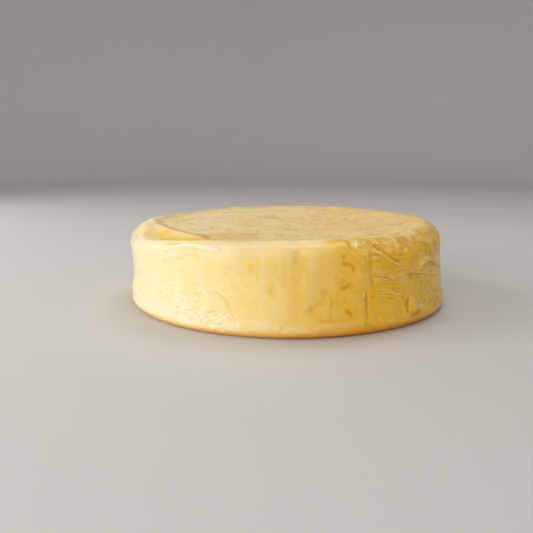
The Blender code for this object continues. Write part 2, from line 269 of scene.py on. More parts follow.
filmCreases = {
    "seam": ([(28, 68.5), (26.6, 65), (25.9, 61), (26.2, 58), (25.7, 55), (26.1, 51), (25.6, 47), (26.1, 43),
              (25.9, 39.5)], 1.3, -0.4),
    "seam corner": ([(26.2, 63.2), (28, 64), (30, 63)], 1.4, -0.5),
    "wedge": ([(24, 75), (22.3, 74), (21.7, 72), (21.4, 70)], 1.5, -0.4),
    "upper diagonal": ([(28.8, 73.4), (28.8, 71.7), (29.4, 70.4), (30, 68.4), (31, 66.8)], 1.8, -1.1),
    "beside the diagonal": ([(30.4, 69.5), (31.6, 66), (33, 63), (34.8, 59.6), (37, 56.4)], 1.5, -0.7),
    "lower seam": ([(24.4, 36), (24, 31.4), (23.9, 24.6), (23.9, 15.5)], 1.4, -0.7),
    "left of the knob": ([(41.2, 24), (40.4, 22), (39.9, 18.5), (40.3, 13.5)], 2, -1.6),
    "under the knob": ([(41.5, 11), (43.5, 9.8), (46, 10.2), (48, 11)], 3, -1.1),
    "round the pale bump": ([(16.4, 59.2), (17.8, 58.6), (19.2, 57.5), (19.6, 55.5)], 1.6, -0.4),
    "lower pale bump": ([(16.1, 39.4), (17.5, 40.4), (18.3, 42.2)], 1.7, -0.5),
    "low nick": ([(17, 22.4), (17.6, 21), (18.2, 19.6)], 1.7, -0.5),
    "corner upright": ([(12.5, 33), (12.4, 25), (12.2, 17)], 1.4, -0.2),
    "corner curl": ([(10.6, 35), (9.4, 31), (7.6, 27), (6.1, 23.6), (3.8, 20.6)], 1.6, -0.22),
    "corner curl below": ([(4.5, 18.6), (6.7, 20.5), (8.4, 23)], 1.2, -0.22),
    "corner curl lowest": ([(5, 17.2), (7.5, 18.6), (9.6, 21)], 1.2, -0.2),
    "notch over the brow": ([(-43.4, 70), (-40.4, 71.3), (-37.2, 73)], 1.8, -0.5),
    "left nick": ([(-66, 33.6), (-60.7, 37.6), (-58.5, 41.8)], 2.4, -0.2),
    "outer arc": ([(-25, 36.2), (-22.2, 33.7), (-20.4, 29.6), (-18.9, 25.2), (-18.2, 19.4)], 1.3, -0.45),
    "inner arc": ([(-23.8, 33), (-21.6, 30.4), (-20.2, 26.6), (-19.4, 22.4)], 1.2, -0.3),
    "arc above": ([(-27, 35.2), (-25.5, 34.2), (-24, 32.4)], 1.2, -0.3),
    "over the foot": ([(-8, 15.2), (6, 14.6), (20, 14.4), (36, 14)], 2.4, -0.22),
    "thin upright": ([(-4.2, 61), (-3.6, 52), (-3, 46)], 1.4, -0.15),
    "below the arch": ([(49.5, 43), (51, 47.5), (53.5, 49.4), (56.5, 47.6), (60, 43.6)], 2.2, -0.6),
    "inside the arch": ([(53.5, 49), (53.2, 45), (51.6, 42)], 1.3, -0.4),
    "fan one": ([(53.2, 38.6), (51, 36.4), (48.8, 33.4)], 1.2, -0.5),
    "fan two": ([(53.6, 37.6), (52, 34.4), (50.4, 30.4)], 1.2, -0.5),
    "fan three": ([(54.2, 37), (53.4, 33), (52.6, 28.6)], 1.2, -0.5),
    "fan four": ([(55, 37), (55.2, 33), (55.4, 28.4)], 1.2, -0.5),
    "fan five": ([(55.8, 37.4), (57, 34), (58.2, 29.8)], 1.2, -0.5),
    "fan six": ([(56.6, 38.2), (58.8, 35.6), (61, 32.4)], 1.2, -0.5),
    "roll under the edge": ([(44, 69.4), (48, 68.4), (52.4, 67.4), (57, 63.6)], 2.6, -0.2),
}
brow = ([(-44, 66.5), (-40.4, 69), (-37, 71.4), (-33.5, 72.7), (-30.5, 72.7), (-27.5, 71.9), (-24.8, 71.1),
         (-21, 70.6)], 2.3, 0.7)
filmPinches = {  # each is a ridge with a groove below it
    "diagonal": ([(28.2, 67.7), (29.3, 65.6), (31, 63), (32.7, 59.8), (34.8, 56.2), (37, 54.2), (39.2, 52)],
                 1.6, 0.8),
    "short upper": ([(25.9, 61.1), (27.7, 61), (30, 60.2)], 1.2, 0.5),
    "short middle": ([(25.9, 58.6), (27.3, 58.4), (29.2, 57.7)], 1.2, 0.5),
    "short lower": ([(25.9, 55.7), (27, 55.7), (28.4, 54.9)], 1.2, 0.5),
    "wave": ([(26, 46.4), (27.5, 45.6), (28.7, 47.4), (30.3, 46.5), (32, 46.4), (33.3, 43.9), (35.1, 42.9),
              (37, 43.9), (39, 45.4), (41.6, 45.3)], 1.4, 0.7),
    "wave above": ([(27.5, 47.7), (28.7, 48.8), (30.1, 48.4), (31.2, 46.6), (33, 45.5)], 1.2, 0.5),
    "slope one": ([(27.7, 36.6), (29.7, 35.6), (31.8, 33.6), (34, 32.5)], 1.2, 0.5),
    "slope two": ([(27.7, 34.5), (30.5, 32.3), (33, 31.9), (35.3, 30.3), (37.7, 28.9), (39.7, 27)], 1.3, 0.7),
    "slope three": ([(33, 30.2), (35.3, 28.1), (37.6, 25.5), (39, 24.4)], 1.1, 0.4),
    "slope four": ([(34.3, 26.7), (36.6, 25), (38.1, 23.1)], 1.1, 0.35),
    "slope five": ([(32, 25.4), (34.7, 23.1), (36.6, 21.5)], 1.1, 0.35),
    "slope six": ([(32.5, 20.9), (35, 19.5), (36.5, 18.5)], 1.1, 0.35),
    "arch": ([(47.6, 43), (48.4, 48), (50.5, 52), (53, 53.4), (56, 51.5), (60, 47.6), (64.5, 43), (69, 38.6)],
             1.5, 0.7),
    "long line": ([(42, 45.1), (45, 44.1), (48.2, 42.8), (51, 41.6), (54.2, 39.3), (61.7, 36.8)], 1.3, 0.6),
    "line below": ([(44.4, 42.5), (48.8, 39.4), (52.4, 36), (57, 32.6)], 1.2, 0.45),
    "upper dash": ([(33.5, 70.6), (35.5, 70.2), (37.2, 69.2), (38.4, 67.6), (39.6, 66)], 1.3, 0.7),
    "beside the lower seam": ([(22.7, 37), (22.6, 31)], 1.3, 0.5),
}
filmDots = [  # bearing, height, radius, rise
    (26.4, 53.8, 1.7, 0.8), (27.4, 69.4, 1.8, 0.8), (30.3, 69.6, 1.7, 0.6), (30.7, 66.4, 1.7, -0.7),
    (23.1, 59.6, 1.7, 0.9), (22.6, 63.2, 1.9, -0.4), (24.4, 57.6, 1.9, -0.4), (17.1, 64.6, 1.7, -0.5),
    (18.3, 42.8, 1.6, -0.5), (43.6, 42.6, 2.7, -1.2), (45.2, 43, 1.7, -0.6), (15.5, 50, 2, 0.3),
    (-7.9, 33.2, 1.5, 0.2), (47.5, 15, 3.5, 0.6),
]

# Combs of wrinkles side by side: a path, how many, the step from one to the next, half width and rise
filmCombs = [
    ([(26.3, 61.8), (28, 61.9), (30.4, 61.2)], 7, (0, -2.1), 1.2, 0.7),
    ([(31.8, 66.5), (34, 62.4), (37.4, 58.4)], 3, (1.7, 1.3), 1.2, 0.35),
    ([(33, 71.6), (36, 70.8), (40.5, 70.4)], 4, (0.3, -2.5), 1.2, 0.35),
    ([(35, 60.6), (38, 59.4), (41, 59)], 5, (0.2, -2.4), 1.1, 0.45),
    ([(26.6, 48.6), (29, 50), (31.5, 48.4), (34, 46)], 4, (0.3, -2.3), 1.2, 0.7),
    ([(33.6, 46), (36, 44), (38.4, 46.6), (42, 47)], 3, (0.2, -2.4), 1.2, 0.6),
    ([(27.4, 37.2), (31, 34.8), (35, 31.7), (39.4, 27.6)], 3, (0.4, -2.4), 1.2, 0.6),
    ([(31.6, 26.2), (34.5, 24), (37.4, 22.6)], 5, (0.1, -2.5), 1.2, 0.35),
    ([(45, 41.4), (49, 40), (54, 38.4), (59, 35.6)], 2, (0.2, -2.6), 1.3, 0.5),
    ([(60, 38), (64, 35.6), (70, 31)], 3, (1, -3), 1.3, 0.5),
    ([(44, 46.4), (49, 45.4), (56, 43)], 3, (1, -1.9), 1.2, 0.55),
    ([(46, 62), (46.4, 56), (46, 49)], 4, (1.5, -0.6), 1.3, 0.5),
    ([(56, 70), (56.6, 63), (55.6, 55)], 6, (2.3, -0.6), 1.5, 0.55),
    ([(50, 53.4), (54, 54.2), (59, 52), (64, 48.6)], 2, (0.2, -2.6), 1.4, 0.6),
    ([(-40, 24.6), (-34, 23.4), (-27, 22)], 4, (0.8, -2.4), 1.1, 0.3),
    ([(-37, 14), (-32, 12.6), (-26, 12)], 3, (1.6, -2.2), 1.2, 0.35),
    ([(-26, 19.5), (-23, 17.6), (-20.4, 14)], 3, (-0.6, -2.4), 1.2, 0.35),
    ([(-29, 34), (-26.6, 30.6), (-25, 26)], 4, (1, -0.6), 1.1, 0.25),
]

# Beds of wrinkles drawn by rule: ranges of bearing, height, then how many, lengths, slants, half width and rise
wrinkleBeds = [
    ((25.8, 30), (50, 63), 12, (5, 10), (-8, 6), 1.1, 0.5),
    ((26, 41), (41, 49), 34, (4, 10), (-35, 20), 1.1, 0.55),
    ((27, 39), (17, 37), 24, (8, 18), (-20, -8), 1.1, 0.4),
    ((33, 42), (54, 71), 24, (4, 9), (-14, 2), 1.1, 0.45),
    ((46, 58), (23, 35), 40, (4, 9), (-120, -62), 1.1, 0.45),
    ((42, 62), (34, 46), 16, (10, 24), (-22, -8), 1.2, 0.5),
    ((56, 76), (46, 70), 16, (10, 20), (76, 104), 1.6, 0.5),
    ((44, 52), (46, 66), 10, (6, 13), (70, 110), 1.5, 0.45),
    ((60, 82), (20, 46), 20, (8, 20), (-25, 5), 1.3, 0.4),
    ((12, 25), (14, 36), 10, (5, 12), (70, 110), 1.3, 0.16),
    ((-41, -24), (18, 24), 16, (6, 14), (-10, 8), 1.1, 0.22),
    ((-38, -17), (5, 20), 120, (2, 5), (-60, 50), 1.1, 0.55),
    ((-46, -30), (14, 34), 40, (2, 5), (-60, 60), 1.1, 0.18),
    ((-22, 4), (15, 24), 16, (3, 8), (50, 110), 1.1, 0.14),
    ((-74, -48), (12, 45), 12, (8, 18), (20, 60), 1.6, -0.2),
]
pitBed = dict(count=420, radius=(0.9, 2), depth=(0.12, 0.5))
lumpBeds = [  # ranges of bearing and height, how many, range of radius and rise
    ((47, 70), (8, 23), 64, (1.3, 3), 0.8),
    ((25.5, 32), (64, 73), 20, (1.1, 2.2), 0.6),
    ((21.5, 25), (55, 68), 10, (1, 1.8), 0.45),
    ((26, 62), (66, 75), 26, (2.2, 5.5), 0.28),
    ((40, 48), (11, 23), 16, (1.3, 2.6), 0.45),
    ((55, 75), (54, 70), 16, (2.5, 5), 0.7),
    ((-40, -18), (5, 19), 120, (1, 1.9), 0.5),
    ((-46, -26), (14, 38), 120, (1, 1.7), 0.28),
]
farBeds = dict(seed=7, patches=13, start=80, span=206)


def bedsRoundTheBack():
    draw = random.Random(farBeds["seed"])
    wrinkles = []
    lumps = []
    for number in range(farBeds["patches"]):
        centre = spacedOut(farBeds, number, farBeds["patches"], (0.2, 0.8), draw)
        level = draw.uniform(18, 58)
        slant = draw.choice([-12, 0, 8, 90])
        wrinkles.append((
            (centre - draw.uniform(4, 8), centre + draw.uniform(4, 8)),
            (level - draw.uniform(5, 12), level + draw.uniform(5, 12)),
            draw.randint(8, 22), (4, draw.uniform(9, 20)), (slant - 14, slant + 14),
            draw.uniform(1.1, 1.8), draw.uniform(0.2, 0.5)))
        lumps.append((
            (centre + 5, centre + 15), (draw.uniform(8, 40), draw.uniform(44, 72)),
            draw.randint(4, 14), (1.5, draw.uniform(2.5, 4.5)), draw.uniform(0.3, 0.7)))
    return wrinkles, lumps


# Strokes of colour: a path of (bearing, height) on the side or of (x, y) on the top, then half width and strength

# warmer, darker strokes: the film's own orange seams and nicks, and painted shade along the crescent, the front
# valley, the corner crease, under the arch and beside and under the knob
warmAndShadeOnSide = [
    ([(-43.4, 70), (-40.4, 71.3), (-36.6, 73)], 2.4, 0.6),
    # painted shade of the shallow crescent fold
    ([(-44, 55.5), (-39.4, 58.5), (-36, 61.4), (-33, 63.6), (-30.4, 64.4), (-28.6, 63)], 3.6, 0.42),
    ([(46, 68.2), (52, 67), (57, 63)], 3.6, 0.25), ([(9, 7.5), (20, 7), (34, 6.5)], 4.5, 0.55),
    ([(-11.8, 57.5), (-11.7, 56.5)], 6, 0.5), ([(-12, 56), (-15, 52)], 3.5, 0.3),
    ([(-10, 60), (-9, 64)], 3.5, 0.2),
    ([(-5.6, 39), (-5.5, 38.4)], 7, 0.5), ([(2, 65.5), (2, 64.5)], 6.5, 0.3), ([(-2, 52), (-2.4, 44)], 4, 0.25),
    # painted shade in the front valley
    ([(3.2, 66), (3, 53), (2.6, 40.5), (1.6, 28), (1, 20)], 7, 0.3),
    ([(-4, 60), (-3.5, 50), (-2.5, 42)], 1.6, 0.3), ([(-26, 19.5), (-22, 19.6)], 2.6, 0.7),
    ([(-3.5, 9.6), (-3.4, 9.2)], 3.2, 0.5), ([(5, 9.2), (5.1, 8.8)], 3.2, 0.5),
    ([(11.5, 16), (13, 15)], 3.5, 0.4),
    ([(-20.5, 62), (-20.2, 38)], 7, 0.25),
    (filmCreases["outer arc"][0], 1.9, 0.35),
    # painted shade in the corner crease
    ([(11.5, 37), (9.6, 31), (7.6, 26.5), (5, 22)], 6, 0.4), ([(9.4, 38.4), (10.8, 37.4)], 4, 0.4),
    ([(16.4, 59.4), (17.8, 58.6), (19.2, 57.5), (19.6, 54.1)], 2.8, 0.7), ([(19.7, 54), (19.8, 48)], 2.6, 0.4),
    ([(17, 64.8), (17, 64)], 2.6, 0.8), ([(16.1, 39.2), (17.5, 40.4), (18.4, 42.6)], 2.8, 0.7),
    ([(17, 21.4), (17.5, 20), (18.2, 18.4)], 2.8, 0.7), ([(12.3, 33), (11.9, 17)], 2, 0.4),
    ([(24.2, 33), (24, 28), (24, 22)], 1.7, 1), ([(23.9, 20), (23.9, 14.5)], 1.5, 0.8),
    ([(26.1, 58), (26.1, 48)], 1.5, 0.5), ([(26, 47), (26.3, 39)], 1.7, 0.9),
    ([(29, 73), (28.8, 71), (29.2, 69.4)], 2.6, 1), ([(30.4, 70), (31.4, 68.2), (32.2, 67)], 2.4, 0.9),
    ([(26.4, 64.4), (28.6, 64.8)], 2.2, 0.8), ([(31.6, 66), (34.8, 59.8), (38, 55)], 1.6, 0.5),
    # painted shade beside and under the knob
    ([(40.9, 24), (40.2, 20), (40.1, 13)], 2, 1), ([(42, 9.5), (46, 9.5)], 4, 0.8),
    ([(43.6, 43.6), (43.8, 41.4)], 3, 1), ([(45, 43.6), (45.4, 42.6)], 2, 0.9),
    # painted shade under the arch
    ([(50, 46.6), (54, 48), (58, 47), (62, 44)], 3, 0.6), ([(33, 73), (42, 73.2), (50, 73)], 5, 0.4),
    ([(27, 45.2), (28.5, 46.4), (31, 44.6), (33.5, 42.4), (37, 42.6)], 2.2, 0.45),
    ([(20, 30), (22, 22)], 8, 0.25), ([(13, 52), (15, 44)], 8, 0.2), ([(11, 64), (16, 60)], 7, 0.2),
]
# paler film, with painted highlights: white specks low on the front left, the line along the brow, the wedge and
# beside the seams
paleAndHighlightsOnSide = [
    ([(-84, 15), (-62, 13), (-45, 11), (-34, 9.5)], 10, 0.8),
    ([(-38, 9), (-28, 8.6), (-21, 9), (-17, 10)], 4.6, 1.3),
    ([(-20, 12.5), (-8, 13)], 6, 0.35), ([(44, 70), (50, 70), (56, 68), (61, 65)], 4.6, 0.35),
    ([(7, 74), (7, 66), (7.2, 60)], 8, 0.15), ([(7.2, 60), (7, 46), (6.4, 34), (5, 24)], 8.5, 0.1),
    ([(-26, 73), (-18, 74), (-6, 74), (3, 74), (9, 75)], 14, 0.5),
    # painted highlight along the brow
    ([(-44, 66.4), (-40.4, 69), (-37, 71.2), (-33.5, 72.6), (-30.5, 72.6), (-27.5, 71.8), (-24, 70.8)], 1.5, 1.3),
    ([(-10, 9.5), (22, 9.5)], 5, 0.2),
    ([(20, 53), (22, 47.8), (24.4, 42)], 6, 0.14), ([(-100, 70), (-80, 69), (-60, 66), (-44, 68)], 9, 0.3),
    ([(-7.9, 33.4), (-7.8, 33)], 1.8, 0.5), ([(15.5, 50.4), (15.5, 49.6)], 2.6, 0.3),
    # painted highlights at the wedge and beside the seams
    ([(25.6, 75.6), (23.7, 75), (22.7, 73.2), (22, 71)], 1.9, 1.3),
    ([(25.2, 60), (25.1, 50), (25.2, 42)], 1.5, 0.12), ([(23.5, 36.5), (23.1, 31)], 1.6, 0.6),
    ([(43, 21.5), (44, 18.5)], 6.5, 0.3), ([(49, 50), (52, 51.6), (57.4, 51), (60.8, 49.3), (64, 46)], 2.2, 0.35),
    ([(48, 14), (58, 16), (68, 20)], 7, 0.1), ([(-66, 62), (-40, 60), (-20, 66)], 14, 0.2),
]
# warmer, darker trough behind the rim and pit at the flap's end: partly the rind's own orange, partly painted
# shade
warmAndShadeOnTop = [
    ([(-112, -50), (-106, -58), (-96, -74), (-84, -88), (-74, -100)], 20, 0.75),
    ([(-142, -34), (-138, -54)], 16, 0.5), ([(-126, -40), (-114, -46)], 18, 0.5),
    ([(-120, -64), (-110, -72)], 13, 0.4), ([(-102, -74), (-92, -84), (-82, -95)], 11, 0.6),
    ([(-70, -79), (-68, -88), (-64, -102), (-60, -116)], 7, 0.9), ([(-66, -94), (-50, -100)], 5, 0.6),
]
# painted highlights on the flap's lip, along the right edge line and as short crease glints, painted light over
# the trough's left end and the top's back left, and pale film along the rim
paleAndHighlightsOnTop = [
    # painted highlight on the flap's lip
    ([(-88, -70), (-82, -71), (-77, -77), (-74, -86)], 5, 1.6),
    # painted light over the trough's shaded left end
    ([(-130, -52), (-120, -58), (-110, -64)], 11, 0.35),
    ([(-64, -116), (-50, -122), (-34, -127.5), (-17, -131), (0, -132), (17, -131), (25, -129.5)], 6.5, 1),
    ([(101, -94), (108, -88), (116, -81), (125, -71)], 5.5, 0.8),
    # painted light over the top's back left
    ([(-80, 20), (-46, 50), (-10, 66)], 34, 0.3),
    ([(-140, 30), (-144, 0), (-141, -36), (-133, -64), (-120, -90), (-100, -110)], 8, 0.35),
    ([(28, -127), (37, -125), (49, -112), (58, -110), (66, -108), (79, -105), (89, -102), (98, -96), (108, -87),
      (118, -79), (127, -66), (132, -57)], 3.6, 1.2),
    # painted glints of creases on the top
    ([(-90, 14), (-80, 16)], 5, 0.6), ([(-36, 11), (-28, 11)], 5, 0.7), ([(-66, 96), (-57, 97)], 7, 0.6),
    ([(-1, 117), (9, 117)], 7, 0.6), ([(-54, 104), (-46, 92), (-38, 86)], 5, 0.5),
]
flapShadowOnTop = [  # painted shadow at the foot of the flap and round it
    ([(-126, 8), (-119, -6), (-112, -19), (-105, -32), (-98, -44), (-91, -54), (-84, -61), (-77, -68),
      (-72, -76), (-69, -86)], 5.5, 0.5),
    ([(-106, -26), (-98, -38)], 7, 0.3), ([(-75, -66), (-71, -76), (-67, -90)], 7, 0.4),
    ([(-68, -92), (-61, -95), (-52, -98)], 3.5, 0.4), ([(-104, -60), (-94, -74), (-84, -84)], 9, 0.2),
    ([(-62, -78), (-50, -84), (-34, -96)], 20, 0.38),
]
stainOnSide = [  # nicks and seams
    ([(17, 65), (17, 64)], 2, 0.45), ([(16.8, 59), (18.4, 58.4), (19.3, 57)], 2.1, 0.45),
    ([(16.2, 39.2), (17.6, 40.8), (18.3, 42.4)], 2, 0.45), ([(17, 22), (18, 19.6)], 2, 0.45),
    ([(24.1, 34), (24, 27), (23.9, 15)], 1.3, 0.8), ([(26.2, 47), (26.2, 39)], 1.3, 0.7),
    ([(28.9, 73), (28.9, 70.4), (31, 67.4)], 1.8, 0.7), ([(41, 24), (40.3, 20), (40.2, 13.5)], 1.7, 0.7),
    ([(43.6, 43.4), (43.8, 41.6)], 2.4, 0.7), ([(45, 43.4), (45.3, 42.6)], 1.7, 0.6),
    ([(26.4, 63.6), (30, 63)], 1.3, 0.5), ([(42.5, 9.5), (46, 9.4)], 2.4, 0.4),
]
topLips = [  # raised edges where the film of the side ends on the top
    ([(-94, -68), (-86, -74), (-79, -79), (-74, -86)], 6, 1),
    ([(37, -125), (49, -112), (58, -110), (66, -108), (79, -105), (89, -102), (98, -96), (108, -87),
      (118, -79), (127, -66)], 3.4, 0.6),
]
clothEdge = [
    (-180, 132), (-150, 131), (-120, 131), (-108, 130), (-97, 126), (-89, 122), (-80, 117), (-71, 112),
    (-64, 110), (-56, 108.5), (-49, 107.5), (-42, 110), (-35, 116), (-30, 126), (-27, 140), (-21, 134),
    (-14, 129), (-7, 126), (0, 125), (7, 126), (12, 127), (16.5, 128), (22, 124), (25, 122), (28, 124.5),
    (32, 129), (37, 132.5), (44, 136.5), (51, 138), (56, 141), (63, 143.5), (70, 144), (82, 142), (100, 138),
    (120, 134), (150, 132),
]


def hangingStreaks(bearing, height):
    places = np.column_stack([bearing * 0.55, height / 46.0, np.zeros(len(bearing))])
    streaks = grain(places, 1.0, 8) + 0.35 * grain(places * [2.3, 1.4, 1.0], 1.0, 9)
    across = smooth((bearing + 34) / 8) * (1.0 - smooth((bearing - 8) / 12))
    up = smooth((height - 24) / 14) * (1.0 - smooth((height - 62) / 8))
    return streaks * across * up


# painted glints: short pale dashes in the colour that stand for highlights on the film
glints = dict(seed=77, count=70, low=-38, high=-17, thickest=-22, height=(5, 20), length=(0.8, 2.4),
              slant=(-0.5, 0.3), halfWidth=(1.0, 1.4), strength=(0.6, 1.6))  # low, high, thickest are bearings


def glintDashes():
    draw = random.Random(glints["seed"])
    dashes = []
    for _ in range(glints["count"]):
        bearing = draw.triangular(glints["low"], glints["high"], glints["thickest"])
        height = draw.uniform(*glints["height"]) + (abs(bearing) - abs(glints["thickest"])) * 0.2
        length, slant = draw.uniform(*glints["length"]), draw.uniform(*glints["slant"])
        path = [(bearing, height), (bearing + math.degrees(length / wheel["radius"]), height + length * slant)]
        dashes.append((path, draw.uniform(*glints["halfWidth"]), draw.uniform(*glints["strength"])))
    return dashes


def strokes(marks, across, up, onSide):
    strength = np.zeros(len(across))
    for path, halfWidth, peak in marks:
        if onSide:
            addSideFold(strength, across, up, path, halfWidth, peak)
        else:
            addFold(strength, across, up, path, halfWidth, peak)
    return np.clip(strength, 0.0, 1.3)


filmRule = dict(
    combSeed=12,
    bedSeed=23,
    wander=0.3,  # how far a drawn wrinkle turns at each step, in radians
    creaseFade=0.12,  # share of a fold's length over which each end fades out
    browFade=0.2,
    bedFade=0.35,
    combShape=dict(spread=1.2, drop=1.0, fade=0.25),
    pinchShape=dict(spread=1.3, drop=0.9, fade=0.15),
    groove=-0.7,  # depth of the groove below a ridge, for a ridge of 1
)


def wanderingPath(place, heading, swing, length, steps, draw, onSide):
    path = [tuple(place)]
    for _ in range(steps):
        heading += draw.uniform(-swing, swing)
        step = math.cos(heading) * length / steps
        place[0] += math.degrees(step / wheel["radius"]) if onSide else step
        place[1] += math.sin(heading) * length / steps
        path.append(tuple(place))
    return path


def addPinch(rise, bearing, height, path, halfWidth, peak, spread, drop, fade):
    below = [(place[0], place[1] - drop * halfWidth) for place in path]
    addSideFold(rise, bearing, height, path, spread * halfWidth, peak, fade=fade, sharp=True)
    addSideFold(rise, bearing, height, below, halfWidth, filmRule["groove"] * peak, fade=fade, sharp=True)


def addWrinkleBed(rise, bearing, height, bed, draw):
    bearings, heights, count, lengths, slants, width, size = bed
    for _ in range(count):
        place = [draw.uniform(*bearings), draw.uniform(*heights)]
        heading = math.radians(draw.uniform(*slants))
        length = draw.uniform(*lengths)
        path = wanderingPath(place, heading, filmRule["wander"], length, max(2, round(length / 3)), draw, True)
        halfWidth = width * draw.uniform(0.85, 1.4)
        peak = size * draw.choice([1, 1, -0.8]) * draw.uniform(0.6, 1.2)
        addSideFold(rise, bearing, height, path, halfWidth, peak, fade=filmRule["bedFade"], sharp=True)


def addComb(rise, bearing, height, comb, draw):
    path, count, (stepBearing, stepHeight), halfWidth, peak = comb
    for number in range(count):
        moved = [(place[0] + stepBearing * number + draw.uniform(-0.3, 0.3),
                  place[1] + stepHeight * number + draw.uniform(-0.4, 0.4)) for place in path]
        rising = peak * draw.uniform(0.6, 1.1)
        addPinch(rise, bearing, height, moved, halfWidth, rising, **filmRule["combShape"])


def fineSideRelief(bearing, height):
    rise = np.zeros(len(bearing))
    drawCombs = random.Random(filmRule["combSeed"])
    for comb in filmCombs:
        addComb(rise, bearing, height, comb, drawCombs)
    for fold in filmCreases.values():
        addSideFold(rise, bearing, height, *fold, fade=filmRule["creaseFade"], sharp=True)
    for fold in filmPinches.values():
        addPinch(rise, bearing, height, *fold, **filmRule["pinchShape"])
    addSideFold(rise, bearing, height, *brow, fade=filmRule["browFade"])
    for dot in filmDots:
        addSideLump(rise, bearing, height, *dot)
    draw = random.Random(filmRule["bedSeed"])
    farWrinkles, farLumps = bedsRoundTheBack()
    for bed in wrinkleBeds + farWrinkles:
        addWrinkleBed(rise, bearing, height, bed, draw)
    for bearings, heights, count, radii, size in lumpBeds + farLumps:
        for _ in range(count):
            peak = size * draw.choice([1, 1, -1]) * draw.uniform(0.4, 1.1)
            place = (draw.uniform(*bearings), draw.uniform(*heights), draw.uniform(*radii))
            addSideLump(rise, bearing, height, *place, peak)
    for _ in range(pitBed["count"]):  # pin pits of the film, thickest where it is rough
        centre = draw.uniform(-180, 180)
        keep = draw.random() < float(roundTable(filmRoughness, np.array(centre)))
        place = (centre, draw.uniform(6, 74), draw.uniform(*pitBed["radius"]))
        depth = draw.uniform(*pitBed["depth"])
        if keep:
            addSideLump(rise, bearing, height, *place, -depth)
    return rise * roundTable(filmLift, bearing)


crinkle = dict(seed=58, creases=260, reach=132, length=(6, 34), steps=5, wander=0.55, fade=0.3,
               halfWidth=(1.3, 2.8), rise=0.17, coarse=9.0, fine=4.2)


def fineTopRelief(x, y, points):
    rise = np.zeros(len(x))
    draw = random.Random(crinkle["seed"])
    for _ in range(crinkle["creases"]):
        away = crinkle["reach"] * math.sqrt(draw.random())
        turn = draw.uniform(0, math.tau)
        place = [away * math.cos(turn), away * math.sin(turn)]
        heading = draw.uniform(0, math.tau)
        length = draw.uniform(*crinkle["length"])
        path = wanderingPath(place, heading, crinkle["wander"], length, crinkle["steps"], draw, False)
        peak = crinkle["rise"] * draw.choice([1, -1]) * draw.uniform(0.4, 1.3)
        addFold(rise, x, y, path, draw.uniform(*crinkle["halfWidth"]), peak, fade=crinkle["fade"])
    coarse = 1.0 - 2.0 * abs(grain(points, crinkle["coarse"], 1))
    fine = 1.0 - 2.0 * abs(grain(points, crinkle["fine"], 2))
    return rise + 0.22 * coarse + 0.14 * fine * (0.6 + 0.4 * coarse)


# Rings of the skin from the middle of the top to the middle of the underside

skinGrid = dict(
    columns=640,
    denseBearing=16.0,  # columns stand closest here
    pull=0.48,
    discRings=[(20, 0.03), (20, 0.055), (40, 0.08), (40, 0.11), (80, 0.14), (80, 0.17), (80, 0.2), (80, 0.23)],
    discRows=(14, 31),  # rings with a quarter and with half of the columns
    bandRows=11,
    shoulderRows=25,
    sideRows=84,
    footRows=8,
    soleRings=[(320, 0.985), (160, 0.95), (80, 0.86), (40, 0.66), (20, 0.36)],
)
disc, band, shoulder, side, foot, sole = range(6)


def layRings():
    columns = skinGrid["columns"]
    rings = [(1, disc, 0.0)]
    rings += [(count, disc, share) for count, share in skinGrid["discRings"]]
    quarterRows, halfRows = skinGrid["discRows"]
    inner = skinGrid["discRings"][-1][1]
    middle = 0.5
    for row in range(quarterRows):
        rings.append((columns // 4, disc, inner + (middle - inner) * (row + 1) / quarterRows))
    for row in range(halfRows):
        rings.append((columns // 2, disc, middle + (1.0 - middle) * (row + 1) / (halfRows + 1)))
    rings += [(columns, band, row / skinGrid["bandRows"]) for row in range(skinGrid["bandRows"])]
    rings += [(columns, shoulder, row / skinGrid["shoulderRows"]) for row in range(skinGrid["shoulderRows"])]
    rings += [(columns, side, 1.0 - row / skinGrid["sideRows"]) for row in range(skinGrid["sideRows"])]
    rings += [(columns, foot, row / skinGrid["footRows"]) for row in range(skinGrid["footRows"] + 1)]
    rings += [(count, sole, share) for count, share in skinGrid["soleRings"]]
    rings.append((1, sole, 0.0))
    return rings


def ringBearings(count):
    turn = np.arange(skinGrid["columns"]) * 360.0 / skinGrid["columns"]
    bearing = skinGrid["denseBearing"] + turn - np.degrees(skinGrid["pull"] * np.sin(np.radians(turn)))
    return wrap(bearing[::skinGrid["columns"] // count])


def joinRings(rings):
    faces = []
    start = 0
    for (count, _, _), (nextCount, _, _) in zip(rings, rings[1:]):
        following = start + count
        for i in range(max(count, nextCount) if 1 in (count, nextCount) else min(count, nextCount)):
            if count == 1:
                faces.append((start, following + i, following + (i + 1) % nextCount))
            elif nextCount == 1:
                faces.append((start + i, following, start + (i + 1) % count))
            elif count == nextCount:
                a, b = start + i, start + (i + 1) % count
                faces.append((a, following + i, following + (i + 1) % count, b))
            elif nextCount == 2 * count:
                a, b = start + i, start + (i + 1) % count
                c, d, e = (following + (2 * i + step) % nextCount for step in range(3))
                faces += [(a, c, d), (a, d, b), (b, d, e)]
            else:
                a, b, c = (start + (2 * i + step) % count for step in range(3))
                d, e = following + i, following + (i + 1) % nextCount
                faces += [(a, d, b), (b, d, e), (b, e, c)]
        start = following
    return faces


def discHeight(radius, bearing):
    share = (radius / wheel["discRadius"]) ** 2
    return wheel["rimHeight"] - wheel["discSink"] + (wheel["discSink"] - roundTable(edgeSink, bearing)) * share


filmGrain = dict(broad=11.0, broadRise=0.16, narrow=4.5, narrowRise=0.07, dimple=2.1, dimpleRise=0.24,
                 rough=2.4, roughRise=0.1)  # sizes and rises in mm


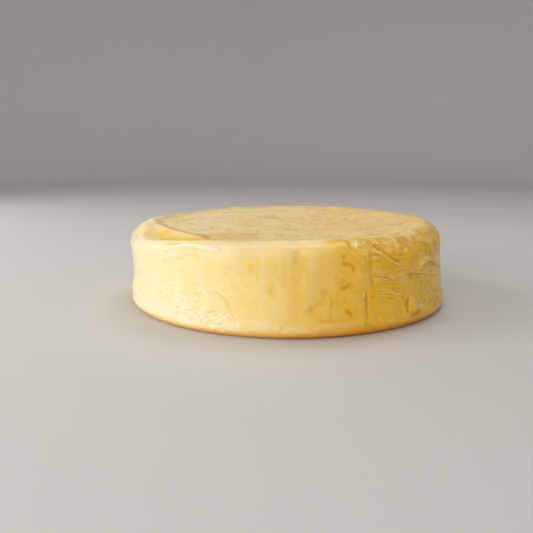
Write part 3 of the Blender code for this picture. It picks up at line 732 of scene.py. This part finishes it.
def shapeSkin(rings):
    kind = np.concatenate([np.full(count, which) for count, which, _ in rings])
    share = np.concatenate([np.full(count, at) for count, _, at in rings])
    bearing = np.concatenate([ringBearings(count) for count, _, _ in rings])
    turn = np.radians(bearing)
    direction = np.stack([np.sin(turn), -np.cos(turn)], axis=1)
    rimHeight = wheel["rimHeight"] + roundTable(rimDip, bearing)
    shoulderSize = wheel["shoulderRounding"] * roundTable(shoulderShare, bearing)
    footSize = wheel["footRounding"] * roundTable(footShare, bearing)
    crest = topRadius - shoulderSize
    edge = np.minimum(roundTable(discEdge, bearing), crest - 3.0)
    edgeHeight = discHeight(edge, bearing)
    onBand = smooth(share)
    over = math.pi / 2 * (1.0 - share)
    under = math.pi / 2 * share
    radius = np.select(
        [kind == disc, kind == band, kind == shoulder, kind == side, kind == foot, kind == sole],
        [share * edge, edge + (crest - edge) * share, crest + shoulderSize * np.cos(over),
         footRadius - wheel["flare"] * share, footRadius - footSize + footSize * np.cos(under),
         share * (footRadius - footSize)])
    height = np.select(
        [kind == disc, kind == band, kind == shoulder, kind == side, kind == foot],
        [discHeight(radius, bearing), edgeHeight + (rimHeight - edgeHeight) * onBand,
         rimHeight - shoulderSize + shoulderSize * np.sin(over),
         footSize + (rimHeight - shoulderSize - footSize) * share, footSize - footSize * np.sin(under)], 0.0)
    outward = np.select([kind == shoulder, kind == side, kind == foot], [np.cos(over), 1.0, np.cos(under)], 0.0)
    upward = np.select([kind <= band, kind == shoulder], [1.0, np.sin(over)], 0.0)
    rimShare = np.select([kind == band, kind == shoulder], [onBand, np.sin(over)], 0.0)
    flat = direction * radius[:, None]
    points = np.column_stack([flat, height])
    onSide = smooth(outward * 1.6)
    onDisc = np.select([kind == disc, kind == band], [1.0, 1.0 - smooth(share * 2.2)], 0.0)
    fineSide = fineSideRelief(bearing, height) * onSide
    ripple = grain(points, filmGrain["broad"], 3) * filmGrain["broadRise"]
    ripple = ripple + grain(points, filmGrain["narrow"], 4) * filmGrain["narrowRise"]
    rough = roundTable(filmRoughness, bearing)
    dimpled = dimpleBed(bearing, height)
    grained = ripple * (0.5 + rough) + grain(points, filmGrain["dimple"], 5) * filmGrain["dimpleRise"] * dimpled
    grained = grained + grain(points, filmGrain["rough"], 6) * filmGrain["roughRise"] * rough
    fineSide += grained * (kind != sole)
    fineTop = fineTopRelief(flat[:, 0], flat[:, 1], points) * onDisc
    sideRise = mainSideRelief(bearing, height) * onSide + fineSide * (kind != sole)
    # how strongly the fine relief is painted as shade and highlight
    contrast = 1.0 / (0.45 - 0.25 * dimpled)
    lips = np.zeros(len(share))
    for path, halfWidth, peak in topLips:
        addFold(lips, flat[:, 0], flat[:, 1], path, halfWidth, peak, fade=0.2)
    topRise = (mainTopRelief(flat[:, 0], flat[:, 1]) + lips) * upward + rimRelief(bearing) * rimShare + fineTop
    push = sideRise * outward + topRise * outward
    flat = direction * (radius + push)[:, None]
    height = height + sideRise * upward + topRise * upward
    height = np.where(kind == sole, 0.0, np.maximum(height, 0.0))
    level = height / wheel["rimHeight"]
    placed = np.column_stack([
        flat[:, 0] + wheel["lean"] * (level - 0.5), flat[:, 1],
        height + wheel["tilt"] * level * flat[:, 0] / wheel["radius"]])
    sideShare = smooth(outward * 3.0)
    topShare = 1.0 - smooth(outward * 1.6)
    x, y = flat[:, 0], flat[:, 1]
    cloth = (kind <= shoulder) * (1.0 - smooth((radius - roundTable(clothEdge, bearing) + 1.5) / 3.0))

    def stroked(onSide, onTop):
        return strokes(onSide, bearing, height, True) * sideShare + strokes(onTop, x, y, False) * topShare

    marks = dict(
        cloth=cloth,
        warmAndShade=stroked(warmAndShadeOnSide, warmAndShadeOnTop),
        pale=stroked(paleAndHighlightsOnSide + glintDashes(), paleAndHighlightsOnTop),
        matte=1.0 - smooth((outward - 0.25) / 0.4),
        streak=np.clip(hangingStreaks(bearing, height) * sideShare, -1.0, 1.0),
        stainAndShadow=stroked(stainOnSide, flapShadowOnTop),
        # painted shade in the fine relief's hollows and painted highlight on its crests
        hollow=np.clip(-fineSide * contrast, 0.0, 1.0),
        crest=np.clip(fineSide * contrast, 0.0, 1.0),
        # round the side: deeper yellow, partly painted shade on the right; on the top: a tint from back left to
        # front right
        shade=np.where(kind == disc, smooth((x + 110.0) / 240.0), roundTable(deepAndShadedShare, bearing)),
        rough=np.clip(rough, 0.0, 1.0),
        crinkle=np.clip(0.5 + fineTop / 0.8, 0.0, 1.0),
        cream=roundTable(creamAndSheenShare, bearing),
        # painted contact shade at the foot, with the film's own deeper edge
        footing=1.0 - smooth(height / 8.0),
        sparkle=sparkleBed(bearing, height) * sideShare,
    )
    return placed, marks


# Tables round the wheel: shares of deeper yellow (partly painted shade on the right) and of cream (partly painted
# sheen on the left), lift of the fine relief, roughness of the film

deepAndShadedShare = [(-180, 0.45), (-120, 0.2), (-60, 0), (-25, 0.05), (-12, 0.12), (-5, 0.26), (3, 0.58), (12, 0.7),
              (20, 0.9), (28, 1), (45, 1.05), (80, 0.95), (120, 0.6), (150, 0.6)]
creamAndSheenShare = [(-180, 0.2), (-120, 0.35), (-80, 0.45), (-50, 0.58), (-40, 0.46), (-30, 0.28), (-22, 0.12),
              (-10, 0.06), (0, 0), (80, 0), (120, 0.15)]
filmLift = [(-180, 1), (-60, 0.9), (0, 1), (18, 0.95), (26, 0.85), (45, 0.9), (56, 1.2), (76, 1.25), (110, 1.1)]
filmRoughness = [(-180, 0.5), (-150, 0.2), (-120, 0.6), (-80, 0.35), (-50, 0.15), (0, 0.1), (18, 0.35), (27, 0.9),
                 (70, 1), (100, 0.4), (130, 0.8), (160, 0.3)]


def dimpleBed(bearing, height):
    across = smooth((bearing + 60) / 12) * (1.0 - smooth((bearing + 26) / 10))
    up = smooth((height - 6) / 6) * (1.0 - smooth((height - 36) / 12))
    return across * up


# where painted glints are sprinkled into the colour
def sparkleBed(bearing, height):
    across = smooth((bearing + 44) / 10) * (1.0 - smooth((bearing + 19) / 5))
    return across * smooth((height - 3) / 4) * (1.0 - smooth((height - 17) / 10))


def wheelMesh():
    rings = layRings()
    placed, marks = shapeSkin(rings)
    low, high = placed.min(axis=0), placed.max(axis=0)
    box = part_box("cheese_wheel")
    boxLow, boxHigh = np.array(box[0]), np.array(box[1])
    placed = boxLow + (placed - low) / (high - low) * (boxHigh - boxLow)  # fills the solid's own box
    print("skin stretched to its box by", ((boxHigh - boxLow) / (high - low) / mm - 1).round(5))
    mesh = bpy.data.meshes.new("wheelSkin")
    mesh.from_pydata(placed.tolist(), [], joinRings(rings))
    mesh.validate()
    mesh.shade_smooth()
    for name, values in marks.items():
        mesh.attributes.new(name, "FLOAT", "POINT").data.foreach_set("value", values.astype(np.float32))
    return mesh


# Node maths as expressions: a wire is one socket of a material

class Wire:
    def __init__(self, tree, socket=None):
        self.tree = tree
        self.socket = socket

    def node(self, kind, settings=None, inputs=None, output=0):
        made = self.tree.nodes.new(kind)
        for name, value in (settings or {}).items():
            setattr(made, name, value)
        for name, value in (inputs or {}).items():
            if isinstance(value, Wire):
                self.tree.links.new(value.socket, made.inputs[name])
            else:
                made.inputs[name].default_value = value
        return Wire(self.tree, made.outputs[output])

    def maths(self, operation, first, second=0.0, clamp=False):
        return self.node("ShaderNodeMath", dict(operation=operation, use_clamp=clamp), {0: first, 1: second})

    def __add__(self, other):
        return self.maths("ADD", self, other)

    def __radd__(self, other):
        return self.maths("ADD", other, self)

    def __sub__(self, other):
        return self.maths("SUBTRACT", self, other)

    def __rsub__(self, other):
        return self.maths("SUBTRACT", other, self)

    def __mul__(self, other):
        return self.maths("MULTIPLY", self, other)

    def __rmul__(self, other):
        return self.maths("MULTIPLY", other, self)

    def clamped(self):
        return self.maths("ADD", self, 0.0, clamp=True)

    def mixed(self, first, second):
        return self.node("ShaderNodeMix", dict(data_type="RGBA"), {0: self, 6: first, 7: second}, output=2)

    def tinted(self, tint):
        settings = dict(data_type="RGBA", blend_type="MULTIPLY")
        return self.node("ShaderNodeMix", settings, {0: 1.0, 6: self, 7: tint}, output=2)


def colour(red, green, blue):
    return (red, green, blue, 1.0)


rind = dict(
    butter=colour(0.92, 0.71, 0.28),  # the side in its film
    cream=colour(0.96, 0.845, 0.60),  # where the film lies pale, and in painted highlights and sheen
    honey=colour(0.87, 0.56, 0.05),  # down in creases and pits: partly their own colour, partly painted shade
    straw=colour(0.93, 0.69, 0.25),  # the same over the yellow side, and its painted highlights
    deep=colour(0.85, 0.49, 0.008),  # the more yellow right side, darker partly as painted shade
    amber=colour(0.68, 0.31, 0.003),  # its creases and pits, partly painted shade
    footEdge=colour(0.66, 0.17, 0.001),  # the foot's lowest edge: partly the film gathered there, partly painted contact shade and warm bounce light
    cloth=colour(0.80, 0.57, 0.19),  # the crinkled top
    clothDark=colour(0.66, 0.43, 0.13),
    clothLight=colour(0.89, 0.69, 0.33),
    backTint=colour(1.0, 1.04, 1.2),  # its hue from the back left
    frontTint=colour(1.0, 0.93, 0.78),  # to the front right
    # painted shadow at the foot of the flap, and the darker nicks and seams of the side
    stainAndShadow=colour(0.60, 0.31, 0.03),
    glow=0.2,  # share of light that scatters inside
    glowReach=0.003,
    glowColours=(1.0, 0.6, 0.25),  # how far red, green and blue light go in that reach
    specular=0.32,
    bumpStrength=0.5,
    bumpHeight=0.0006,
    filmRoughness=0.36,
    topRoughness=0.62,
    coat=0.42,
    coatRoughness=0.08,
)


def rindMaterial():
    material = bpy.data.materials.new("rindInFilm")
    material.use_nodes = True
    tree = material.node_tree
    surface = tree.nodes["Principled BSDF"]
    start = Wire(tree)
    where = start.node("ShaderNodeTexCoord", output=3)

    def mark(name):
        return start.node("ShaderNodeAttribute", dict(attribute_name=name), output=2)

    def cloud(scale, detail, seed, place=where):
        inputs = {"Vector": place, "W": seed, "Scale": scale, "Detail": detail}
        return start.node("ShaderNodeTexNoise", dict(noise_dimensions="4D"), inputs)

    cloth, hollow, crest, rough = mark("cloth"), mark("hollow"), mark("crest"), mark("rough")
    shade, wrinkled, streak, matte = mark("shade"), mark("crinkle"), mark("streak"), mark("matte")
    warmAndShade, pale, stainAndShadow = mark("warmAndShade"), mark("pale"), mark("stainAndShadow")
    cream, footing, sparkle = mark("cream"), mark("footing"), mark("sparkle")
    broad, patchy, fine = cloud(16.0, 3.0, 0.0), cloud(60.0, 4.0, 3.0), cloud(420.0, 3.0, 6.0)
    speckled, spark = cloud(190.0, 3.0, 18.0), cloud(650.0, 2.0, 24.0)
    flat = start.node("ShaderNodeVectorMath", dict(operation="MULTIPLY"), {0: where, 1: (1.0, 1.0, 3.0)})
    rumple = cloud(230.0, 3.0, 21.0, flat)
    threads = (1 - start.maths("ABSOLUTE", rumple - 0.5) * 22).clamped()

    # deeper yellow towards the right: partly the film's tone, partly painted shade, with random tone
    deepness = shade + (broad - 0.5) * 0.6 + (patchy - 0.5) * 0.5 * (rough + 0.3) + (speckled - 0.5) * 0.3
    deepness = deepness.clamped()
    skin = deepness.mixed(rind["butter"], rind["deep"])
    # milky film: the cream share, partly painted sheen on the left, with random tone
    milky = (patchy - 0.5) * 0.7 * (1 - deepness) + cream
    milky = (milky + (fine - 0.5) * (0.2 + cream * 0.5)) * (1 - footing)
    # painted glints as white specks, with darker specks between them
    paintedGlints = ((spark - 0.57) * 14).clamped() * sparkle
    milky = milky + paintedGlints * 1.2
    # paler: painted highlights on wrinkle crests, pale threads and the milky film, less along streaks
    paleness = (crest * 0.48 + threads * rough * 0.2 + milky - streak * 0.12).clamped()
    skin = paleness.mixed(skin, deepness.mixed(rind["cream"], rind["straw"]))
    skin = (pale * 0.75).clamped().mixed(skin, (deepness * 0.5).mixed(rind["cream"], rind["straw"]))
    # warmer and darker: the warm strokes, and painted shade in the fine relief's hollows
    warmth = warmAndShade * (0.85 + (patchy - 0.5) * 1.2) + hollow * (0.35 + deepness * 0.65)
    warmth = warmth + streak * 0.2 + footing * 0.7
    warmth = warmth + (rumple - 0.53) * rough * 2.6 + (speckled - 0.52) * (rough + 0.35) * 1.3
    warmth = warmth + (patchy - 0.56) * rough * 1.2 + ((0.47 - spark) * 9).clamped() * sparkle * 0.6 - paintedGlints
    skin = (warmth.clamped() * 0.85).mixed(skin, deepness.mixed(rind["honey"], rind["amber"]))
    # deep orange foot edge: partly the gathered film, partly painted contact shade and warm bounce light
    skin = (footing * (0.45 + deepness * 0.5)).mixed(skin, rind["footEdge"])
    weave = ((wrinkled - 0.5) * 1.7 + (patchy - 0.5) * 2.1 + (fine - 0.5) * 1.8 + 0.5).clamped()
    top = weave.mixed(rind["clothDark"], rind["clothLight"])
    top = ((broad - 0.45) * 2.0).clamped().mixed(top, rind["cloth"])
    top = top.tinted(shade.clamped().mixed(rind["backTint"], rind["frontTint"]))
    top = (pale * (0.5 + (patchy - 0.5) * 1.5)).clamped().mixed(top, rind["cream"])
    onTop = (cloth + (patchy - 0.5) * 2.0 * cloth * (1 - cloth)).clamped()
    blend = onTop.mixed(skin, top)
    # painted shadow at the flap's foot, with the side's darker nicks and seams
    blend = (stainAndShadow * (0.7 + (fine - 0.5))).clamped().mixed(blend, rind["stainAndShadow"])
    tree.links.new(blend.socket, surface.inputs["Base Color"])

    gloss = rind["filmRoughness"] + (patchy - 0.5) * 0.22
    roughness = gloss * (1 - matte) + (rind["topRoughness"] + (fine - 0.5) * 0.2) * matte
    tree.links.new(roughness.clamped().socket, surface.inputs["Roughness"])
    tree.links.new((rind["coat"] * (1 - matte)).socket, surface.inputs["Coat Weight"])
    surface.inputs["Coat Roughness"].default_value = rind["coatRoughness"]
    surface.inputs["Subsurface Weight"].default_value = rind["glow"]
    surface.inputs["Subsurface Radius"].default_value = rind["glowColours"]
    surface.inputs["Subsurface Scale"].default_value = rind["glowReach"]
    surface.inputs["Specular IOR Level"].default_value = rind["specular"]

    film = cloud(260.0, 4.0, 9.0) * (0.25 + rough * 0.75) * (1 - onTop)
    weaveHeight = (cloud(300.0, 5.0, 12.0) + cloud(900.0, 2.0, 15.0) * 0.5) * onTop
    relief = film * 0.35 + rumple * rough * (1 - onTop) * 0.7 + weaveHeight
    bump = start.node("ShaderNodeBump", {},
                      {"Strength": rind["bumpStrength"], "Distance": rind["bumpHeight"], "Height": relief})
    tree.links.new(bump.socket, surface.inputs["Normal"])
    return material


def buildWheel():
    piece = bpy.data.objects.new("wheelInFilm", wheelMesh())
    bpy.context.scene.collection.objects.link(piece)
    piece.data.materials.append(rindMaterial())
    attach(piece, "root")
    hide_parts("cheese_wheel")
    print("wheel:", len(piece.data.polygons), "faces")


stageSizes = dict(floorReach=1.6, cove=0.45, coveSteps=12, wall=2.2, columns=96)


def plainMaterial(name, tone):
    material = bpy.data.materials.new(name)
    material.use_nodes = True
    surface = material.node_tree.nodes["Principled BSDF"]
    surface.inputs["Base Color"].default_value = tone
    surface.inputs["Roughness"].default_value = 0.75
    return material


def buildStage():
    outline = [(0.0, 0.0), (stageSizes["floorReach"], 0.0)]
    for step in range(1, stageSizes["coveSteps"] + 1):
        angle = math.pi / 2 * step / stageSizes["coveSteps"]
        outline.append((stageSizes["floorReach"] + stageSizes["cove"] * math.sin(angle),
                        stageSizes["cove"] * (1 - math.cos(angle))))
    outline.append((outline[-1][0], stageSizes["wall"]))
    mesh = bpy.data.meshes.new("stage")
    mesh.from_pydata([(x, 0.0, z) for x, z in outline], [(i, i + 1) for i in range(len(outline) - 1)], [])
    stage = bpy.data.objects.new("stage", mesh)
    bpy.context.scene.collection.objects.link(stage)
    turn = stage.modifiers.new("turn", "SCREW")
    turn.steps = stageSizes["columns"]
    turn.render_steps = stageSizes["columns"]
    turn.use_merge_vertices = True
    turn.merge_threshold = 0.0001
    turn.use_smooth_shade = True
    stage.data.materials.append(plainMaterial("paleStage", colour(0.62, 0.61, 0.60)))


lights = {  # bearing and elevation in degrees, distance and size in metres, power in watts
    "window": dict(bearing=-66, elevation=20, distance=1.25, size=(1.0, 0.22), power=5.8, tone=(1.0, 0.98, 0.95)),
    "side": dict(bearing=-98, elevation=42, distance=1.3, size=(0.5, 0.3), power=2.3, tone=(1.0, 0.99, 0.97)),
    "edge": dict(bearing=-122, elevation=16, distance=1.2, size=(0.5, 0.5), power=2.3, tone=(1.0, 0.98, 0.94)),
    "front": dict(bearing=-17, elevation=15, distance=1.5, size=(1.0, 0.6), power=8.6, tone=(1.0, 0.98, 0.94)),
    "fill": dict(bearing=80, elevation=42, distance=1.4, size=(0.6, 0.4), power=1.5, tone=(1.0, 0.94, 0.84)),
    "top": dict(bearing=145, elevation=68, distance=1.4, size=(0.7, 0.7), power=5.2, tone=(1.0, 0.98, 0.96)),
}


room = dict(aim=(0, 0, 0.03), tone=colour(1.0, 0.97, 0.92), strength=0.28)


def aim(thing, target):
    thing.rotation_euler = (target - thing.location).to_track_quat("-Z", "Y").to_euler()


def buildLights():
    for name, light in lights.items():
        lamp = bpy.data.lights.new(name, "AREA")
        lamp.shape = "RECTANGLE"
        lamp.size, lamp.size_y = light["size"]
        lamp.energy = light["power"]
        lamp.color = light["tone"]
        thing = bpy.data.objects.new(name, lamp)
        turn, lift = math.radians(light["bearing"]), math.radians(light["elevation"])
        away = Vector((math.sin(turn) * math.cos(lift), -math.cos(turn) * math.cos(lift), math.sin(lift)))
        thing.location = away * light["distance"]
        aim(thing, Vector(room["aim"]))
        thing.visible_camera = False
        thing.visible_glossy = name not in ("front", "edge")  # these two leave no streak on the film
        bpy.context.scene.collection.objects.link(thing)
    world = bpy.data.worlds.new("softRoom")
    world.use_nodes = True
    sky = world.node_tree.nodes["Background"]
    sky.inputs["Color"].default_value = room["tone"]
    sky.inputs["Strength"].default_value = room["strength"]
    bpy.context.scene.world = world


cameraSizes = dict(place=(-0.0196, -0.6625, 0.1597), pitch=0.1943, lens=45.93, sensor=36.0, nearest=0.01)


def buildCamera():
    lens = bpy.data.cameras.new("camera")
    lens.sensor_width = cameraSizes["sensor"]
    lens.lens = cameraSizes["lens"]
    lens.clip_start = cameraSizes["nearest"]
    view = bpy.data.objects.new("camera", lens)
    view.location = cameraSizes["place"]
    view.rotation_euler = (math.pi / 2 - cameraSizes["pitch"], 0, 0)
    bpy.context.scene.collection.objects.link(view)
    bpy.context.scene.camera = view
    bpy.context.scene.view_settings.view_transform = "Standard"


buildCamera()
print("camera set")
buildWheel()
print("wheel built")
buildStage()
buildLights()
print("stage and lights set")
